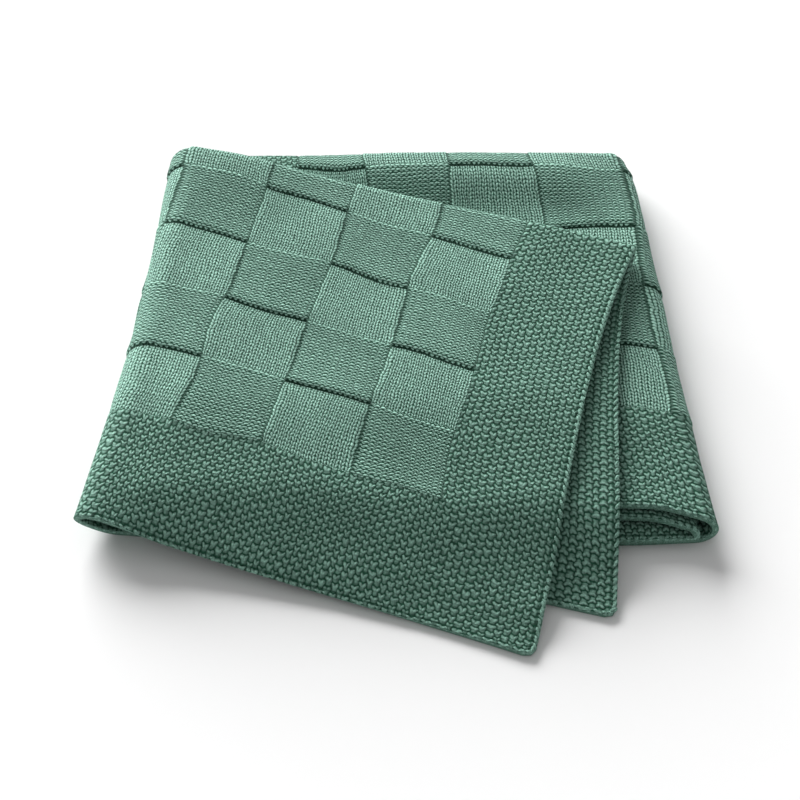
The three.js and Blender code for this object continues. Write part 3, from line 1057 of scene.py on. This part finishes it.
class KnitPattern:
    """Squares of knit and purl inside a border of seed stitch, over the flat cloth.

    outer_side: whether it is for the cloth's outer side or its inner one. A square that is purl on
    one side is knit on the other.
    """

    def __init__(self, n, cloth, outer_side):
        self.n, self.cloth, self.outer_side = n, cloth, outer_side
        uv = n.add("ShaderNodeUVMap", uv_map=UV_NAME)
        flat = n.add("ShaderNodeSeparateXYZ")
        n.feed(flat.inputs[0], uv.outputs[0])
        self.s, self.t = flat.outputs[0], flat.outputs[1]
        self.noise = FlatNoise(n, self.s, self.t)

        # The stitches are pushed about a little, as hands and needles leave them, and those of the
        # border once more.
        spots, varied = self.noise.spots, self.noise.varied
        s = varied(self.s, spots(5 * MM, seed=1.5, detail=1), 2.0 * MM)
        t = varied(self.t, spots(5 * MM, seed=8.5, detail=1), 1.8 * MM)
        seed_s = varied(s, spots(4 * MM, seed=2.5), 1.5 * MM)
        seed_t = varied(t, spots(4 * MM, seed=6.5), 1.1 * MM)

        column = self.from_border(s, cloth.square_width / cloth.stitches)
        row = self.from_border(t, cloth.square_length / cloth.rows)
        in_side = n.math("MINIMUM", seed_s, cloth.border)
        seed_column = n.math(
            "ADD", n.math("DIVIDE", in_side, cloth.seed_width),
            n.math("DIVIDE", n.math("SUBTRACT", seed_s, in_side), cloth.seed_width_between))
        self.knit = knit_height(n, column, row)
        self.purl = purl_height(n, column, row)
        self.seed = seed_height(n, seed_column, n.math("DIVIDE", seed_t, cloth.seed_row))

        # The edge between two squares follows the stitches.
        scallop = n.math("COSINE", n.math("MULTIPLY", column, 2 * math.pi))
        edge_t = n.math("MULTIPLY_ADD", scallop, 0.45 * MM, t)
        self.square_s = self.from_border(s, cloth.square_width)
        self.square_t = self.from_border(edge_t, cloth.square_length)
        self.in_squares = n.product(
            n.math("GREATER_THAN", self.square_s, 0),
            n.math("LESS_THAN", self.square_s, cloth.squares_across),
            n.math("GREATER_THAN", self.square_t, 0),
            n.math("LESS_THAN", self.square_t, cloth.squares_along))
        number = n.math("ADD", n.math("FLOOR", self.square_s), n.math("FLOOR", self.square_t))
        is_odd = n.math("ABSOLUTE", n.math("MODULO", number, 2))
        is_even = n.math("SUBTRACT", 1, is_odd)
        self.is_knit, self.is_purl = (is_odd, is_even) if outer_side else (is_even, is_odd)

    def from_border(self, value, step):
        """How many steps past the border a place is."""
        n = self.n
        return n.math("DIVIDE", n.math("SUBTRACT", value, self.cloth.border), step)

    def shade(self):
        """Beside a square's edge, the sunken kind is in the other's shade."""
        n, cloth = self.n, self.cloth
        from_near_end = n.math("MULTIPLY", n.math("FRACT", self.square_t), cloth.square_length)
        to_far_end = n.math("SUBTRACT", cloth.square_length, from_near_end)
        if not self.outer_side:
            from_near_end, to_far_end = to_far_end, from_near_end
        to_side = n.math("MULTIPLY", n.less(1, n.math("ABSOLUTE", n.centred(self.square_s))),
                         cloth.square_width / 2)
        far = n.product(self.is_knit, n.fade(to_far_end, 0.9 * MM, 2.8 * MM))
        near = n.product(self.is_knit, n.fade(from_near_end, 0, 1.2 * MM), 0.3)
        side = n.product(self.is_purl, n.fade(to_side, 0.2 * MM, 2.4 * MM), 0.6)
        return n.product(self.in_squares, n.largest(far, near, side))

    def painted_groove_shade(self):
        """Painted shade where grooves lie just inside the edge stitches; it darkens the colour only.
        """
        n = self.n

        def shade_of_groove(value, whole, middle):
            from_edge = n.math("MINIMUM", value, n.math("SUBTRACT", whole, value))
            off = n.math("ABSOLUTE", n.math("SUBTRACT", from_edge, middle))
            return n.fade(off, 0.2 * MM, 1.1 * MM)

        return n.largest(shade_of_groove(self.s, self.cloth.width, SIDE_GROOVE_SHADE),
                         shade_of_groove(self.t, self.cloth.length, END_GROOVE_SHADE))

    def kind(self, seed, purl, knit):
        """The value for the kind of stitch that a place has."""
        return self.n.mix(self.in_squares, seed, self.n.mix(self.is_knit, purl, knit))


def knit_material(name, cloth, yarn, outer_side):
    """The knitted surface, drawn from the flat cloth's own coordinates."""
    material, n = new_material(name)
    pattern = KnitPattern(n, cloth, outer_side)
    shade = pattern.shade()
    fibre = pattern.noise.spots(1.1 * MM, seed=3.3, detail=2)
    patch = pattern.noise.spots(30 * MM, seed=5.1)

    # Painted shade: from the deep shade colour to the raised yarn's by how far each stitch is
    # raised, darker still in the squares' shade and in the grooves' painted shade.
    raised = n.product(
        pattern.kind(seed=n.ramp(pattern.seed, start=-0.1, end=1.65),
                     purl=n.ramp(pattern.purl, start=0.32, end=0.96),
                     knit=n.ramp(pattern.knit, start=0.35, end=0.95)),
        n.less(1, shade), n.less(0.7, pattern.painted_groove_shade()))
    base = n.colour(raised, (*yarn.deep_shade, 1), (*yarn.light, 1))

    # Lighter and darker fibres, slow changes over the blanket, and the squares' shade.
    tone = n.product(pattern.noise.varied(1, fibre, 1.8), pattern.noise.varied(1, patch, 0.18),
                     n.less(0.4, shade))
    toned = n.add("ShaderNodeVectorMath", operation="SCALE")
    n.feed(toned.inputs[0], base)
    n.feed(toned.inputs["Scale"], tone)

    height = n.math("MULTIPLY", pattern.kind(pattern.seed, pattern.purl, pattern.knit),
                    pattern.kind(yarn.seed_depth, yarn.purl_depth, yarn.knit_depth))
    height = n.math("MULTIPLY_ADD", fibre, 0.06 * MM, height)
    yarn_shader(n, toned.outputs[0], height)
    return material


def add_floor(colour):
    """A wide pale floor."""
    bm = bmesh.new()
    bmesh.ops.create_grid(bm, x_segments=1, y_segments=1, size=FLOOR_HALF_SIZE)
    mesh = bpy.data.meshes.new("floor")
    bm.to_mesh(mesh)
    bm.free()
    floor = bpy.data.objects.new("floor", mesh)
    bpy.context.scene.collection.objects.link(floor)
    paper = bpy.data.materials.new("Pale floor")
    paper.use_nodes = True
    shader = paper.node_tree.nodes["Principled BSDF"]
    shader.inputs["Base Color"].default_value = (*colour, 1)
    shader.inputs["Roughness"].default_value = 0.9
    shader.inputs["Specular IOR Level"].default_value = 0.1
    mesh.materials.append(paper)


def pale_world(horizon, ambient):
    """All round, the studio is as pale as the floor up to a little above the horizon."""
    world = bpy.data.worlds.new("Studio")
    world.use_nodes = True
    n = Nodes(world.node_tree)
    background = world.node_tree.nodes["Background"]
    background.inputs["Color"].default_value = (1, 1, 1, 1)
    direction = n.add("ShaderNodeTexCoord")
    axes = n.add("ShaderNodeSeparateXYZ")
    n.feed(axes.inputs[0], direction.outputs["Generated"])
    upwards = n.ramp(axes.outputs[2], math.sin(horizon), math.sin(2 * horizon))
    n.feed(background.inputs["Strength"], n.mix(upwards, 1.0, ambient))
    return world


def turned_to(towards):
    """The rotation of a light or camera that looks along a direction, its top kept upwards."""
    return towards.to_track_quat("-Z", "Y")


def add_sun(name, towards, strength, spread):
    """A soft even light that stands in one direction."""
    light = bpy.data.lights.new(name, "SUN")
    light.energy = strength
    light.angle = spread
    lamp = bpy.data.objects.new(name, light)
    lamp.rotation_mode = "QUATERNION"
    lamp.rotation_quaternion = turned_to(-towards)
    bpy.context.scene.collection.objects.link(lamp)


def add_camera(studio, aim):
    """The photograph's view, aimed at a point of the floor."""
    lens = bpy.data.cameras.new("Camera")
    lens.lens = studio.lens
    lens.sensor_width = SENSOR_WIDTH
    camera = bpy.data.objects.new("Camera", lens)
    away = Vector((0, -math.cos(studio.pitch), math.sin(studio.pitch)))
    camera.location = aim + studio.distance * away
    camera.rotation_mode = "QUATERNION"
    camera.rotation_quaternion = turned_to(-away)
    bpy.context.scene.collection.objects.link(camera)
    return camera


class BLANKET_OT_studio(bpy.types.Operator):
    """Makes the floor, the lights and the camera"""

    bl_idname = "blanket.studio"
    bl_label = "Studio"

    def execute(self, context):
        scene = context.scene
        studio = scene.blanket_studio
        add_floor(studio.floor_colour)
        scene.world = pale_world(studio.horizon, studio.ambient)
        level = math.cos(studio.key_elevation)
        towards_key = Vector((-math.sin(studio.key_azimuth) * level,
                              math.cos(studio.key_azimuth) * level,
                              math.sin(studio.key_elevation)))
        add_sun("Key light", towards_key, studio.key_strength, studio.key_spread)
        add_sun("Top light", Vector((0, 0, 1)), studio.top_strength, TOP_SPREAD)
        scene.camera = add_camera(studio, pile_shift(scene))
        scene.view_settings.view_transform = "Standard"
        return {"FINISHED"}


class BLANKET_PT_sidebar(bpy.types.Panel):
    """The blanket's sizes and colours, with a button for each piece"""

    bl_label = "Knitted Blanket"
    bl_space_type = "VIEW_3D"
    bl_region_type = "UI"
    bl_category = "Blanket"

    def draw(self, context):
        layout = self.layout
        scene = context.scene
        for group in (scene.blanket_cloth, scene.blanket_folds,
                      scene.blanket_yarn, scene.blanket_studio):
            box = layout.box()
            for name in group.bl_rna.properties.keys():
                if name not in ("rna_type", "name"):
                    box.prop(group, name)
        for operator in OPERATORS:
            layout.operator(operator.bl_idname)


SETTINGS = {
    "blanket_cloth": BlanketCloth,
    "blanket_folds": BlanketFolds,
    "blanket_yarn": BlanketYarn,
    "blanket_studio": BlanketStudio,
}
OPERATORS = (BLANKET_OT_sheet, BLANKET_OT_edge_stitches, BLANKET_OT_studio)


def register():
    for cls in (*SETTINGS.values(), *OPERATORS, BLANKET_PT_sidebar):
        bpy.utils.register_class(cls)
    for name, cls in SETTINGS.items():
        setattr(bpy.types.Scene, name, PointerProperty(type=cls))


def unregister():
    for name in SETTINGS:
        delattr(bpy.types.Scene, name)
    for cls in reversed((*SETTINGS.values(), *OPERATORS, BLANKET_PT_sidebar)):
        bpy.utils.unregister_class(cls)


def main():
    register()
    bpy.ops.blanket.sheet()
    bpy.ops.blanket.edge_stitches()
    bpy.ops.blanket.studio()


if __name__ == "__main__":
    main()
